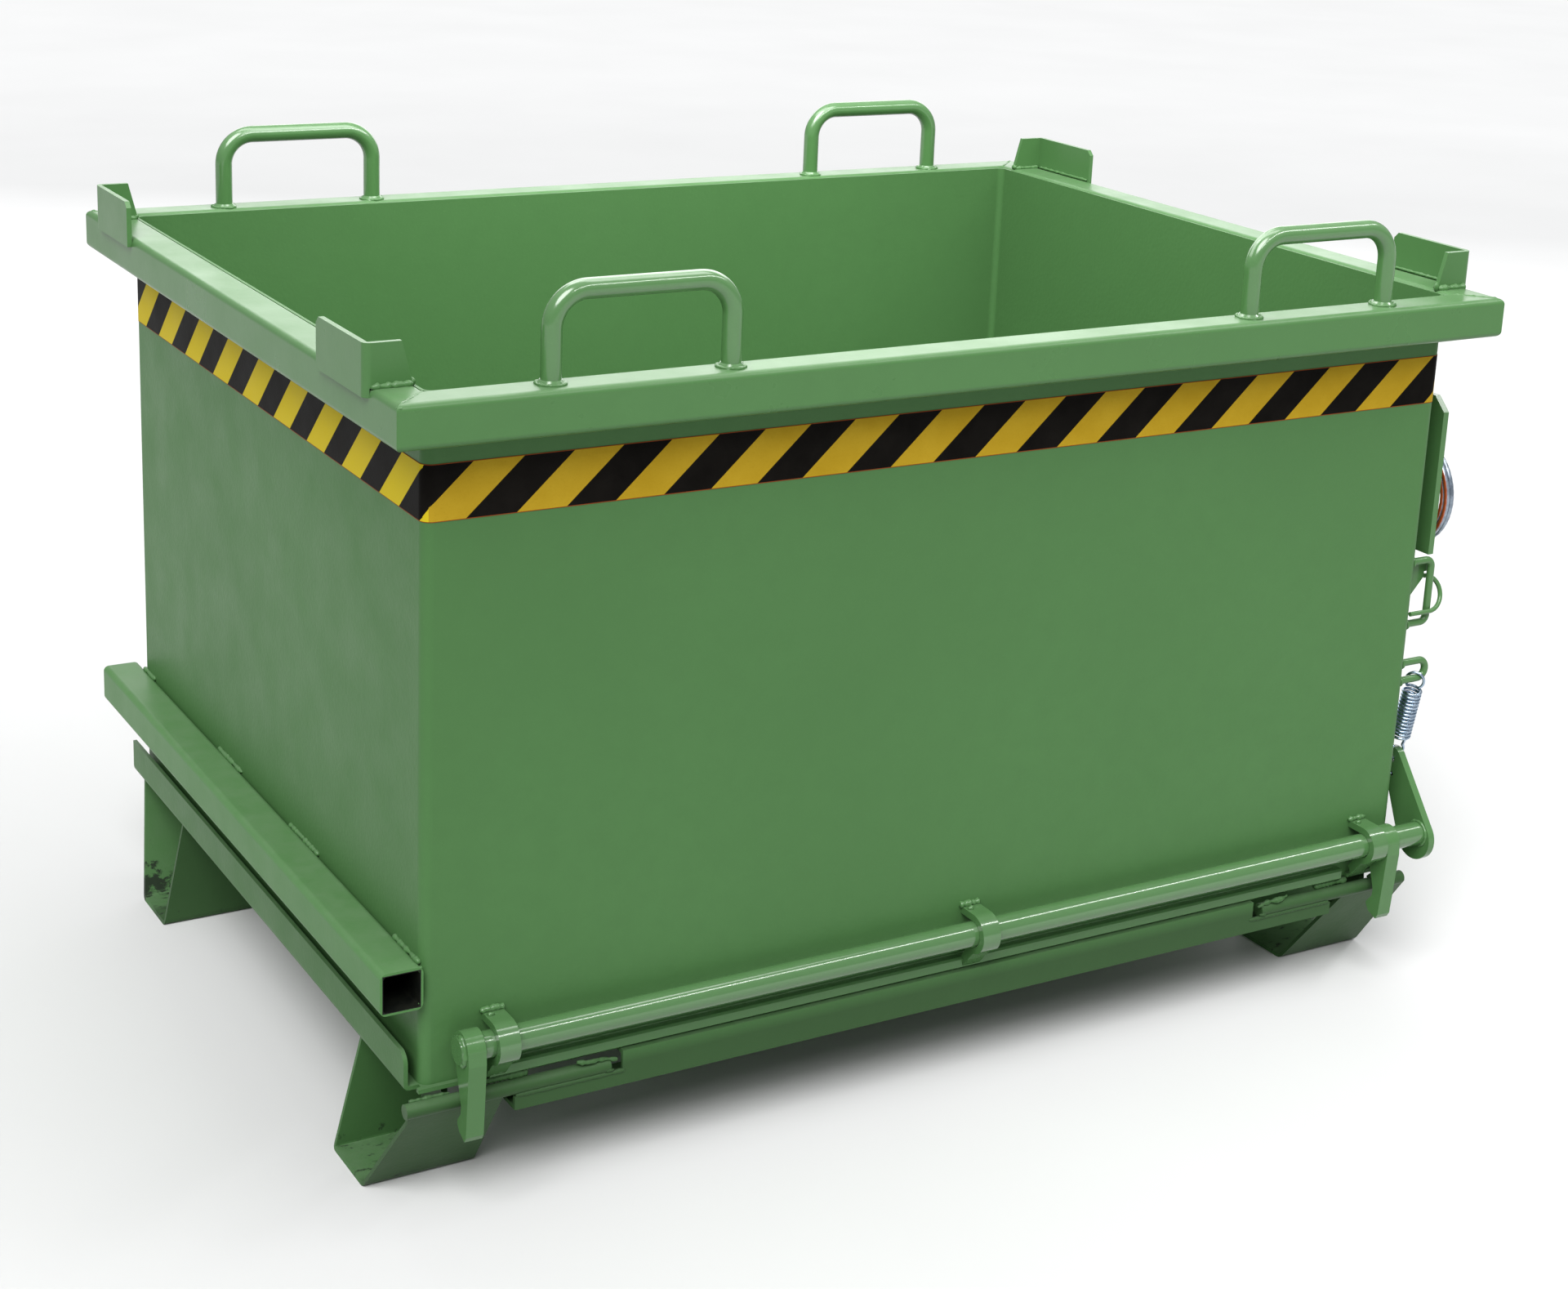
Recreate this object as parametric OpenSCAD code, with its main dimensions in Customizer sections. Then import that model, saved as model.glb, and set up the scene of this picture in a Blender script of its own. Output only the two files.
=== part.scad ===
// Hinged-floor bulk container: a rectangular steel box on feet whose floor is a
// flap hinged at the back and held at the front by two hooks on a latch shaft.
// Millimetres, +Z up. The origin is on the ground, under the middle of the box.

/* [Container] */
// Outside width of the box, along X
body_w = 1120; // [1000:10:1300]
// Outside depth of the box, along Y
body_d = 800; // [760:10:1000]
// Height of the box walls
body_h = 630; // [560:10:800]
// Thickness of the wall sheet
wall_t = 3; // [2:0.5:4]
// Outside bend radius of the upright corners
corner_r = 10; // [8:1:16]

/* [Rim] */
// Width and height of the square rim tube
rim_w = 40; // [36:1:50]
// Wall thickness of the square tubes
tube_t = 3; // [2:0.5:4]
// Outside corner radius of the square tubes
tube_r = 6; // [5:0.5:8]

/* [Lifting bows] */
// Diameter of the round bar of a lifting bow
bow_d = 18; // [14:1:22]
// Distance between the two legs of a bow
bow_span = 170; // [140:5:220]
// Height of a bow above the rim
bow_h = 87; // [70:1:110]
// Bend radius of a bow, at the middle of the bar
bow_r = 32; // [24:1:40]
// Distance from the side of the box to the middle of a bow
bow_inset = 190; // [150:5:260]

/* [Stacking corners] */
// Length of a stacking plate along the side rim
stack_l = 110; // [80:5:150]
// Height of the stacking plates above the rim
stack_h = 38; // [25:1:60]
// Thickness of the stacking plates
stack_t = 5; // [4:1:8]

/* [Warning tape] */
// Width of the tape band
tape_w = 50; // [30:1:60]
// Distance from the top of the rim to the top of the tape
tape_drop = 64; // [55:1:90]

/* [Floor flap] */
// Thickness of the floor sheet
floor_t = 4; // [3:0.5:5]
// Height of the side lips above the floor
lip_h = 32; // [20:1:45]
// Distance of the lips outside the box walls
lip_gap = 10; // [6:1:12]
// Depth of the front and back beams under the floor
beam_h = 34; // [30:1:40]

/* [Feet] */
// Height of the box above the ground
stand_h = 125; // [110:1:150]
// Width of a foot's flat bottom, along Y
foot_w = 75; // [60:1:90]
// Distance from the front wall to the front feet
front_foot_y = 62; // [50:1:70]
// Distance from the front wall to the back feet
back_foot_y = 650; // [560:5:660]
// Thickness of the foot sheet
foot_t = 4; // [3:0.5:5]

/* [Latch] */
// Diameter of the latch shaft
shaft_d = 25; // [20:1:26]
// Thickness of the hook plates
hook_t = 17; // [12:1:20]
// Thickness of the lever plate
lever_t = 8; // [6:1:10]
// Diameter of the bars that the hooks hold
bar_d = 14; // [12:1:14]

/* [Hinge] */
// Diameter of the hinge pins
pin_d = 20; // [16:1:22]
// Distance from the back wall to the hinge axis
hinge_out = 25; // [25:1:30]
// Distance from the side of the box to the middle of a hinge
hinge_inset = 140; // [100:5:200]

/* [Release rope] */
// Diameter of the sheathed wire rope
rope_d = 6; // [5:0.5:6]
// Middle diameter of the coiled rope
coil_d = 106; // [96:1:106]

/* [Hidden] */
$fn = 48;

paint = [0.33, 0.52, 0.33];
paint_dark = [0.27, 0.43, 0.26];
zinc = [0.62, 0.66, 0.70];
rope_grey = [0.45, 0.50, 0.55];
tape_yellow = [0.85, 0.68, 0.12];

// Box
return_l = 25;      // how far the front and back sheets turn along the sides
weld_drop = 2;      // wall edge below the top of the rim
rim_z = body_h - rim_w;
tape_t = 0.4;
tape_z = body_h - tape_drop - tape_w;

// Lifting bows and stacking corners
bow_y = 17;         // from the wall out to the middle of a bow
collar_h = 4;
collar_d = 8;       // how much wider a weld collar is than the bar
stack_inset = 18;   // from the corner of the box to a stacking corner
stack_down = 8;     // how far the long plate reaches below the rim's top
stack_cut = 6;
stack_taper = 10;
stack_bend = 7;     // outside radius of the bend between the two plates

// Side tubes along the bottom of the box
side_tube_w = 40;
side_tube_z = 78;
side_tube_front = -5;
side_tube_back = body_d + 20;
right_tube_front = 260;
end_cap_t = 3;

// Latch shaft
shaft_y = -22;
shaft_z = 40;
shaft_left = 24;
lever_x = body_w + 21;
shaft_right = lever_x + lever_t;
hook_left_x = 28;
hook_right_x = body_w - 37;
boss_r = 17;
strap_w = 20;
strap_t = 7;
strap_gap = 0.5;
strap_left_x = 57;
strap_middle_x = body_w / 2 + 4;
strap_right_x = body_w - 59;
strap_leg = [
    [-26, 21], [-9, 0], [-9, 7], [-7, 9], [-4.4, 9], [-18, 26.3], [-22, 26.8]
];

// Hook outline, from its front edge down to the point and up its back edge
hook_outline = [
    [-39, 42], [-40, 30], [-35, -40], [-32, -45], [-20, -40], [-16, -34],
    [-16, -31], [-23, -22], [-24, -14], [-19, 0], [-12, 20], [-8, 30]
];

// Lever: wide end round the shaft, small end with the spring's and rope's holes
lever_low = [-16, 33];
lever_low_r = 24.5;
lever_top = [28, 107];
lever_top_r = 14;
spring_hole_r = 4.5;
rope_hole = [27, 90];
rope_hole_r = 3.5;
flank_in = 0.05;    // keeps the lever's straight flanks just inside its round ends
function flanks(a, ra, b, rb) =
    let (way = atan2(b[1] - a[1], b[0] - a[0]), flank = acos((ra - rb) / norm(b - a)))
    [for (s = [[a, ra, 1], [b, rb, 1], [b, rb, -1], [a, ra, -1]])
        s[0] + (s[1] - flank_in) * [cos(way + s[2] * flank), sin(way + s[2] * flank)]];

// Ledge under the latch shaft
ledge_x = 62;
ledge_end = 70;
ledge_outline = [
    [0, 9], [-7, 9], [-9, 7], [-9, -1], [-7, -3], [-3, -3], [-3, 0], [0, 0]
];

// Floor flap
bar_y = -7;
bar_z = -17;
bar_out = 18;       // how far a latch bar reaches past the side of the box
bar_l = 198;
beam_x = 85;
beam_front = -12;
beam_lap = 20;      // how far the beams' flanges reach under the floor
notch_z = -24.5;
notch_past = 12;    // how far a notch in the front beam reaches past its bar's end
tab_w = 58;
tab_side = 4;       // how far a front tab reaches past the side of the box
tab_out = 5;
lip_front = 5;
lip_round = 12;
notch_end = bar_l - bar_out + notch_past;
back_beam_t = 4;
back_flange = 30;   // depth of the back beam's lower flange
cross_w = 60;
cross_t = 3;
cross_x = 370;
cross_front = 22;   // from the front wall to the near end of a cross member
cross_back = 32;    // from the back wall to its far end

// Feet
foot_out = 30;      // how far a foot's bottom reaches past the side of the box
foot_l = 108;
foot_slant = 25;    // how far a foot's left end leans in on its way up
foot_bend = 1.5 * foot_t;
lip_bend = 1.5 * floor_t;
foot_lean = 10;     // how far a front foot's back wall leans forward on its way up
back_foot_in = 5;   // from the back wall to the top of a back foot's sloping wall
right_foot_x = body_w + foot_out - foot_l - 2;
front_foot_path = [
    [-4.5, -24.3], [front_foot_y, -stand_h], [front_foot_y + foot_w, -stand_h],
    [front_foot_y + foot_w - foot_lean, -floor_t]
];
back_foot_path = [
    [back_foot_y, -floor_t], [back_foot_y, -stand_h], [back_foot_y + foot_w, -stand_h],
    [body_d - back_foot_in, -floor_t]
];
rib_t = 6;
rib_x = 22;
right_rib_x = body_w - 28;
rib_outline = [[8, -floor_t], [52, -floor_t], [52, -101], [4, -28.3]];

// Hinge
fit = 0.05;         // radial running clearance of the hinge pins
cut = 1;            // how far a bore is cut past both of its faces
hinge_z = 0;
hinge_y = body_d + hinge_out;
ear_r = 20;
ear_t = 8;
ear_gap = 60;
ear_outline = [
    [body_d, 5], [body_d, 60], [body_d + 14, 60], [hinge_y + ear_r - 1, 6],
    [hinge_y + ear_r - 1, 0], [hinge_y - ear_r + 1, 0]
];
knuckle_r = 18;
knuckle_outline = [
    [body_d, -8], [hinge_y - 12, -6], [hinge_y - 6, -13.5], [body_d, -beam_h]
];
side_play = 0.5;
pin_head_r = 15;
pin_head_t = 6;
pin_clip_r = 14;
pin_clip_t = 4;

// Hardware on the right-hand wall
spring_x = body_w + 25;
eye_y = 10;
eye_low_z = 206;
eye_rod_r = 4;
eye_bend_r = 10;
eye_reach = 26;
spring_r = 11;
spring_l = 58;
spring_wire_r = 1.5;
loop_r = 8.5;
loop_drop = 3;      // from the middle of the eye's leg to the top loop's middle
holder_x = body_w + 22;
holder_t = 7;
holder_front = 9;
holder_back = 80;
holder_z = 345;
holder_top = 515;
holder_cut = 15;
bracket_x = body_w + 29;
bracket_y = 10;
bracket_low = 270;
bracket_high = 339;
bracket_r = 4;
bracket_bend = 8;
gusset_y = 16;
gusset_t = 5;
gusset_outline = [[0, 288], [26, 318], [26, 324], [31, 324], [31, 338], [0, 338]];
hoop_r = 19;
hoop_rod_r = 2.5;
hoop_x = body_w + 27;
hoop_z = 301;
hoop_tilt = 20;
guide_y = 150;
guide_z = 94;
guide_r = 9;
guide_rod_r = 3;

// Release rope
coil_x = body_w + 44;
coil_y = 66;
coil_z = 400;
peg_r = 5;
peg_l = 27;
peg_washer_r = 12;
peg_washer_t = 4;
ferrule_ring_r = 7;
ferrule_r = 5;
ferrule_l = 21.6;
ferrule_y = rope_hole[0] + 2 * ferrule_ring_r;
rope_sides = 8;
rope_steps = 3;
// Places along the rope from the ferrule, measured from the side of the box,
// the front wall and the bottom of the box
rope_route = [
    [25, 63, 90], [25, 90, 90], [25, 120, 91], [25, 150, 94], [26, 180, 104],
    [27, 200, 123], [28, 212, 150], [30, 216, 185], [32, 213, 220], [34, 204, 255],
    [36, 190, 288], [38, 175, 319], [40, 157, 355], [41, 139, 392], [41, 121.6, 427.5]
];

function unit(v) = v / norm(v);
function left_of(a, b) = let (u = unit(b - a)) [-u[1], u[0]];

// One point of a path moved sideways by t, mitred at the corners
function shifted(p, i, t) =
    let (last = len(p) - 1)
    i == 0 ? p[0] + t * left_of(p[0], p[1]) :
    i == last ? p[last] + t * left_of(p[last - 1], p[last]) :
    let (a = left_of(p[i - 1], p[i]), b = left_of(p[i], p[i + 1]))
    p[i] + t * (a + b) / (1 + a * b);

// A path whose inner corners are cut by short chords, like a bent sheet
function bent(p, r) = [
    for (i = [0:len(p) - 1])
        if (i == 0 || i == len(p) - 1) p[i]
        else
            let (u = unit(p[i - 1] - p[i]), v = unit(p[i + 1] - p[i]))
            each [for (s = [0:3])
                let (k = s / 3)
                p[i] + r * ((1 - k) * (1 - k) * u + k * k * v)]
];

// A smooth curve through a list of places
function curve_point(a, b, c, d, t) =
    0.5 * (2 * b + (c - a) * t + (2 * a - 5 * b + 4 * c - d) * t * t
        + (3 * b - a - 3 * c + d) * t * t * t);
function smooth(p, n) = [
    for (i = [0:len(p) - 2])
        for (s = [0:n - 1])
            curve_point(p[max(i - 1, 0)], p[i], p[i + 1], p[min(i + 2, len(p) - 1)], s / n),
    p[len(p) - 1]
];

module in_body() {
    translate([-body_w / 2, -body_d / 2, stand_h]) children();
}

// Extrudes a YZ outline along X, from x
module along_x(x, length) {
    translate([x, 0, 0]) rotate([90, 0, 90]) linear_extrude(length) children();
}

// Extrudes an XZ outline along Y, from y
module along_y(y, length) {
    translate([0, y + length, 0]) rotate([90, 0, 0]) linear_extrude(length) children();
}

// Draws its child at the left or right, front or back of the box, mirrored to suit
module corner(right, back) {
    translate([right ? body_w : 0, back ? body_d : 0, 0])
        mirror([right ? 1 : 0, 0, 0])
            mirror([0, back ? 1 : 0, 0])
                children();
}

module rounded_rect(w, d, r) {
    translate([r, 0]) square([w - 2 * r, d]);
    translate([0, r]) square([w, d - 2 * r]);
    for (x = [r, w - r], y = [r, d - r]) translate([x, y]) circle(r);
}

module tube_outline(w) {
    difference() {
        rounded_rect(w, w, tube_r);
        translate([tube_t, tube_t]) rounded_rect(w - 2 * tube_t, w - 2 * tube_t, tube_r - tube_t);
    }
}

// A bent sheet's outline: the path gives its outer side, the sheet lies to its left
module sheet_outline(path, t) {
    back = [for (i = [len(path) - 1:-1:0]) shifted(path, i, t)];
    polygon(concat(path, back));
}

// A ring of the box's plan, from inset in to inset out
module plan_ring(inside, outside) {
    difference() {
        translate([outside, outside])
            rounded_rect(body_w - 2 * outside, body_d - 2 * outside, corner_r - outside);
        translate([inside, inside])
            rounded_rect(body_w - 2 * inside, body_d - 2 * inside, corner_r - inside);
    }
}

// ---- walls ----
module wall(from, size) {
    color(paint) in_body() linear_extrude(body_h - weld_drop) intersection() {
        plan_ring(wall_t, 0);
        translate(from) square(size);
    }
}
module wall_front() wall([-1, -1], [body_w + 2, return_l + 1]);
module wall_back() wall([-1, body_d - return_l], [body_w + 2, return_l + 1]);
module wall_left() wall([-1, return_l], [return_l, body_d - 2 * return_l]);
module wall_right() wall([body_w - return_l, return_l], [return_l + 1, body_d - 2 * return_l]);

// ---- rim ----
// A mitred tube: its outer face on y = 0, its inner corners at x = 0 and x = length
module mitred_rim(length) {
    intersection() {
        along_x(-rim_w, length + 2 * rim_w) tube_outline(rim_w);
        translate([0, 0, -1]) linear_extrude(rim_w + 2)
            polygon([[-rim_w, 0], [length + rim_w, 0], [length, rim_w], [0, rim_w]]);
    }
}
module rim(place, turn, length) {
    color(paint) in_body() translate([place[0], place[1], rim_z]) rotate(turn) mitred_rim(length);
}
module rim_front() rim([0, -rim_w], 0, body_w);
module rim_back() rim([body_w, body_d + rim_w], 180, body_w);
module rim_left() rim([-rim_w, body_d], -90, body_d);
module rim_right() rim([body_w + rim_w, 0], 90, body_d);

// ---- lifting bows ----
module bow_half() {
    leg = bow_h - bow_d / 2 - bow_r;
    half = bow_span / 2;
    translate([half, 0, 0]) cylinder(d = bow_d, h = leg);
    translate([half, 0, 0]) cylinder(d1 = bow_d + collar_d, d2 = bow_d + 1, h = collar_h);
    translate([half - bow_r, 0, leg]) rotate([90, 0, 0])
        rotate_extrude(angle = 90) translate([bow_r, 0]) circle(d = bow_d);
    translate([0, 0, leg + bow_r]) rotate([0, 90, 0]) cylinder(d = bow_d, h = half - bow_r);
}
module bow(right, back) {
    color(paint) in_body() corner(right, back) translate([bow_inset, -bow_y, body_h]) {
        bow_half();
        mirror([1, 0, 0]) bow_half();
    }
}
module bow_front_left() bow(false, false);
module bow_front_right() bow(true, false);
module bow_back_left() bow(false, true);
module bow_back_right() bow(true, true);

// ---- stacking corners ----
module stacking_corner(right, back) {
    high = stack_h + stack_down;
    short_l = rim_w - 2;
    color(paint) in_body() corner(right, back) intersection() {
        union() {
            translate([0, stack_inset, body_h - stack_down]) along_x(-rim_w - stack_t, stack_t)
                polygon([[0, 0], [stack_l, 0], [stack_l, high - stack_cut],
                    [stack_l - stack_cut, high], [0, high]]);
            translate([-rim_w, 0, body_h]) along_y(stack_inset, stack_t)
                polygon([[0, 0], [short_l, 0], [short_l - stack_taper, stack_h], [0, stack_h]]);
        }
        translate([-rim_w - stack_t, stack_inset, 0]) linear_extrude(body_h + 2 * stack_h)
            hull() {
                translate([stack_bend, stack_bend]) circle(stack_bend);
                translate([2 * stack_l, 0]) square(1);
                translate([0, 2 * stack_l]) square(1);
            }
    }
}
module stack_front_left() stacking_corner(false, false);
module stack_front_right() stacking_corner(true, false);
module stack_back_left() stacking_corner(false, true);
module stack_back_right() stacking_corner(true, true);

module warning_tape() {
    color(tape_yellow) in_body() translate([0, 0, tape_z]) linear_extrude(tape_w)
        plan_ring(0, -tape_t);
}

// ---- tubes, ledge and straps ----
module side_tube_left() {
    color(paint) in_body() translate([-side_tube_w, 0, side_tube_z]) {
        along_y(side_tube_front, side_tube_back - side_tube_front) tube_outline(side_tube_w);
        along_y(side_tube_back, end_cap_t) rounded_rect(side_tube_w, side_tube_w, tube_r);
    }
}
module side_tube_right() {
    color(paint) in_body() translate([body_w, 0, side_tube_z]) {
        along_y(right_tube_front, side_tube_back - right_tube_front) tube_outline(side_tube_w);
        along_y(side_tube_back, end_cap_t) rounded_rect(side_tube_w, side_tube_w, tube_r);
    }
}
module front_ledge() {
    color(paint) in_body() along_x(ledge_x, body_w - ledge_x - ledge_end) polygon(ledge_outline);
}

// A strap round the front of the shaft, with one leg on the wall and one on the ledge
module strap(x) {
    inner = shaft_d / 2 + strap_gap;
    outer = inner + strap_t;
    color(paint) in_body() along_x(x, strap_w) {
        intersection() {
            translate([shaft_y, shaft_z]) difference() {
                circle(outer);
                circle(inner);
            }
            translate([shaft_y - 2 * outer, shaft_z - 2 * outer]) square([2 * outer, 4 * outer]);
        }
        translate([shaft_y, shaft_z + inner]) square([-shaft_y, strap_t]);
        polygon(strap_leg);
    }
}
module strap_left() strap(strap_left_x);
module strap_middle() strap(strap_middle_x);
module strap_right() strap(strap_right_x);

// ---- hardware on the right-hand wall ----
module rope_holder() {
    color(paint) in_body() {
        along_x(holder_x, holder_t) polygon([
            [holder_front, holder_z], [holder_back, holder_z], [holder_back, holder_top],
            [holder_front + holder_cut, holder_top], [holder_front, holder_top - holder_cut]]);
        translate([body_w, holder_back - holder_t, holder_z])
            cube([holder_x - body_w, holder_t, holder_top - holder_z]);
        translate([holder_x + holder_t, coil_y, coil_z + coil_d / 2 - rope_d - peg_r])
            rotate([0, 90, 0]) {
                cylinder(r = peg_r, h = peg_l);
                translate([0, 0, peg_l - peg_washer_t]) cylinder(r = peg_washer_r, h = peg_washer_t);
            }
    }
}

// A quarter of a bent rod in the XZ plane, from pointing +X to pointing +Z
module rod_bend(bend_r, rod_r, angle) {
    rotate([90, 0, 0]) rotate_extrude(angle = angle) translate([bend_r, 0]) circle(rod_r);
}

// Half a ring of rod in the XZ plane, on its +X side
module half_ring(bend_r, rod_r) {
    rotate([90, 0, 0]) rotate(-90) rotate_extrude(angle = 180)
        translate([bend_r, 0]) circle(rod_r);
}

module rope_bracket() {
    reach = bracket_x - body_w - bracket_bend;
    color(paint) in_body() translate([body_w, bracket_y, 0]) {
        for (z = [bracket_low, bracket_high]) translate([0, 0, z]) rotate([0, 90, 0])
            cylinder(r = bracket_r, h = reach);
        translate([reach, 0, bracket_high - bracket_bend])
            rod_bend(bracket_bend, bracket_r, 90);
        translate([reach, 0, bracket_low + bracket_bend])
            mirror([0, 0, 1]) rod_bend(bracket_bend, bracket_r, 90);
        translate([reach + bracket_bend, 0, bracket_low + bracket_bend])
            cylinder(r = bracket_r, h = bracket_high - bracket_low - 2 * bracket_bend);
    }
}
module bracket_gusset() {
    color(paint_dark) in_body() along_y(gusset_y, gusset_t)
        translate([body_w, 0]) polygon(gusset_outline);
}
module rope_hoop() {
    color(paint) in_body() translate([hoop_x, bracket_y, hoop_z]) rotate([-hoop_tilt, 0, 0]) {
        half_ring(hoop_r, hoop_rod_r);
        translate([-(hoop_x - body_w), 0, -hoop_r]) rotate([0, 90, 0])
            cylinder(r = hoop_rod_r, h = hoop_x - body_w);
    }
}
module rope_guide() {
    stem = spring_x - body_w - guide_r;
    color(paint) in_body() translate([spring_x, guide_y, guide_z]) {
        rotate([90, 0, 0]) rotate_extrude() translate([guide_r, 0]) circle(guide_rod_r);
        translate([-guide_r - stem, 0, 0]) rotate([0, 90, 0]) cylinder(r = guide_rod_r, h = stem);
    }
}
module spring_eye() {
    color(paint) in_body() translate([body_w, eye_y, eye_low_z]) {
        for (z = [0, 2 * eye_bend_r]) translate([0, 0, z]) rotate([0, 90, 0])
            cylinder(r = eye_rod_r, h = eye_reach);
        translate([eye_reach, 0, eye_bend_r]) half_ring(eye_bend_r, eye_rod_r);
    }
}

// The spring's axis runs from the eye's lower leg down to the lever's hole
module return_spring() {
    low = [lever_top[0], lever_top[1]];
    high = [eye_y, eye_low_z];
    lean = atan2(low[0] - high[0], high[1] - low[1]);
    top = norm(high - low);
    body_top = top - loop_drop - loop_r;
    color(zinc) in_body() translate([spring_x, low[0], low[1]]) rotate([lean, 0, 0]) {
        translate([0, 0, body_top - spring_l]) cylinder(r = spring_r, h = spring_l);
        translate([0, 0, top - loop_drop]) rotate([0, 90, 0])
            rotate_extrude() translate([loop_r, 0]) circle(spring_wire_r);
        translate([0, 0, loop_r]) rotate([90, 0, 0])
            rotate_extrude() translate([loop_r, 0]) circle(spring_wire_r);
        translate([0, 0, 2 * loop_r])
            cylinder(r = spring_wire_r, h = body_top - spring_l - 2 * loop_r + 1);
    }
}

// ---- hinge ----
module hinge_ears(x) {
    color(paint) in_body() for (side = [-ear_gap / 2 - ear_t, ear_gap / 2])
        along_x(x + side, ear_t) difference() {
            union() {
                translate([hinge_y, hinge_z]) circle(ear_r);
                polygon(ear_outline);
            }
            translate([hinge_y, hinge_z]) circle(pin_d / 2 + fit);
        }
}
module hinge_pin(x) {
    outer = ear_gap / 2 + ear_t;
    color(zinc) in_body() translate([x, hinge_y, hinge_z]) rotate([0, 90, 0]) {
        translate([0, 0, -outer]) cylinder(d = pin_d, h = 2 * outer + pin_head_t);
        translate([0, 0, -outer - pin_head_t]) cylinder(r = pin_head_r, h = pin_head_t);
        translate([0, 0, outer + side_play]) cylinder(r = pin_clip_r, h = pin_clip_t);
    }
}
module floor_knuckle(x) {
    half = ear_gap / 2 - side_play;
    color(paint) in_body() difference() {
        union() {
            along_x(x - half, 2 * half) translate([hinge_y, hinge_z]) circle(knuckle_r);
            along_x(x - half, 2 * half) polygon(knuckle_outline);
        }
        along_x(x - half - cut, 2 * half + 2 * cut)
            translate([hinge_y, hinge_z]) circle(pin_d / 2 + fit);
    }
}
module hinge_ears_left() hinge_ears(hinge_inset);
module hinge_ears_right() hinge_ears(body_w - hinge_inset);
module hinge_pin_left() hinge_pin(hinge_inset);
module hinge_pin_right() hinge_pin(body_w - hinge_inset);
module floor_knuckle_left() floor_knuckle(hinge_inset);
module floor_knuckle_right() floor_knuckle(body_w - hinge_inset);

// ---- floor flap ----
module floor_sheet() {
    color(paint) in_body() translate([0, 0, -floor_t]) linear_extrude(floor_t) {
        square([body_w, body_d]);
        for (x = [-tab_side, body_w - tab_w])
            translate([x, -tab_out]) square([tab_w + tab_side, tab_out]);
    }
}
module floor_lip() {
    outer = -lip_gap - floor_t;
    color(paint) intersection() {
        along_y(lip_front, body_d)
            sheet_outline(bent([[outer, lip_h], [outer, -floor_t], [0, -floor_t]], lip_bend), floor_t);
        along_x(outer - 1, 2 - outer) {
            translate([lip_front, -floor_t - 1])
                square([body_d, lip_h + floor_t + 1 - lip_round]);
            translate([lip_front + lip_round, -floor_t]) square([body_d, lip_h + floor_t + 1]);
            translate([lip_front + lip_round, lip_h - lip_round]) circle(lip_round);
        }
    }
}
module floor_lip_left() in_body() floor_lip();
module floor_lip_right() in_body() translate([body_w, 0, 0]) mirror([1, 0, 0]) floor_lip();

module front_beam() {
    low = -floor_t - beam_h;
    color(paint_dark) in_body() difference() {
        along_x(beam_x, body_w - 2 * beam_x)
            sheet_outline([[beam_lap, -floor_t], [beam_front, -floor_t],
                [beam_front, low], [beam_lap, low]], foot_t);
        for (x = [beam_x - cut, body_w - notch_end])
            translate([x, beam_front - 1, notch_z])
                cube([notch_end - beam_x + cut, -beam_front + 2, -notch_z]);
    }
}
module back_beam() {
    low = -floor_t - beam_h;
    color(paint_dark) in_body() along_x(beam_x, body_w - 2 * beam_x)
        sheet_outline([[body_d - back_flange, low], [body_d, low], [body_d, -floor_t]],
            back_beam_t);
}
module cross_member(x) {
    low = -floor_t - beam_h;
    color(paint_dark) in_body() along_y(cross_front, body_d - cross_front - cross_back)
        sheet_outline([[x - cross_w / 2, -floor_t], [x - cross_w / 2, low],
            [x + cross_w / 2, low], [x + cross_w / 2, -floor_t]], cross_t);
}
module cross_member_left() cross_member(cross_x);
module cross_member_right() cross_member(body_w - cross_x);

module latch_bar(x) {
    color(paint) in_body() translate([x, bar_y, bar_z]) rotate([0, 90, 0])
        cylinder(d = bar_d, h = bar_l);
}
module latch_bar_left() latch_bar(-bar_out);
module latch_bar_right() latch_bar(body_w + bar_out - bar_l);

// ---- feet ----
// A trough of bent sheet that follows path, with its left end cut on a slant
module foot(x, path) {
    color(paint) in_body() difference() {
        along_x(x, foot_l) sheet_outline(bent(path, foot_bend), foot_t);
        along_y(-body_d, 3 * body_d) polygon([[x - 1, -stand_h], [x, -stand_h],
            [x + foot_slant, -floor_t + 1], [x - 1, -floor_t + 1]]);
        translate([x - 1, 0, -floor_t]) cube([foot_l + 2, body_d, stand_h]);
    }
}
module foot_front_left() foot(-foot_out, front_foot_path);
module foot_front_right() foot(right_foot_x, front_foot_path);
module foot_back_left() foot(-foot_out, back_foot_path);
module foot_back_right() foot(right_foot_x, back_foot_path);

// A stiffening rib inside a front foot, between its sloping wall and the floor
module foot_rib(x) {
    color(paint) in_body() along_x(x, rib_t) polygon(rib_outline);
}
module foot_rib_left() foot_rib(rib_x);
module foot_rib_right() foot_rib(right_rib_x);

// ---- latch ----
module latch_shaft() {
    color(paint) in_body() translate([shaft_left, shaft_y, shaft_z]) rotate([0, 90, 0])
        cylinder(d = shaft_d, h = shaft_right - shaft_left);
}
module hook(x) {
    color(paint) in_body() along_x(x, hook_t) difference() {
        union() {
            translate([shaft_y, shaft_z]) circle(boss_r);
            polygon(hook_outline);
        }
        translate([shaft_y, shaft_z]) circle(d = shaft_d);
    }
}
module hook_left() hook(hook_left_x);
module hook_right() hook(hook_right_x);

module latch_lever() {
    color(paint) in_body() difference() {
        union() {
            along_x(lever_x, lever_t) translate(lever_low) circle(lever_low_r);
            along_x(lever_x, lever_t) translate(lever_top) circle(lever_top_r);
            along_x(lever_x, lever_t)
                polygon(flanks(lever_low, lever_low_r, lever_top, lever_top_r));
        }
        along_x(lever_x - cut, lever_t + 2 * cut) {
            translate([shaft_y, shaft_z]) circle(d = shaft_d);
            translate(lever_top) circle(spring_hole_r);
            translate(rope_hole) circle(rope_hole_r);
        }
    }
}

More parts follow.
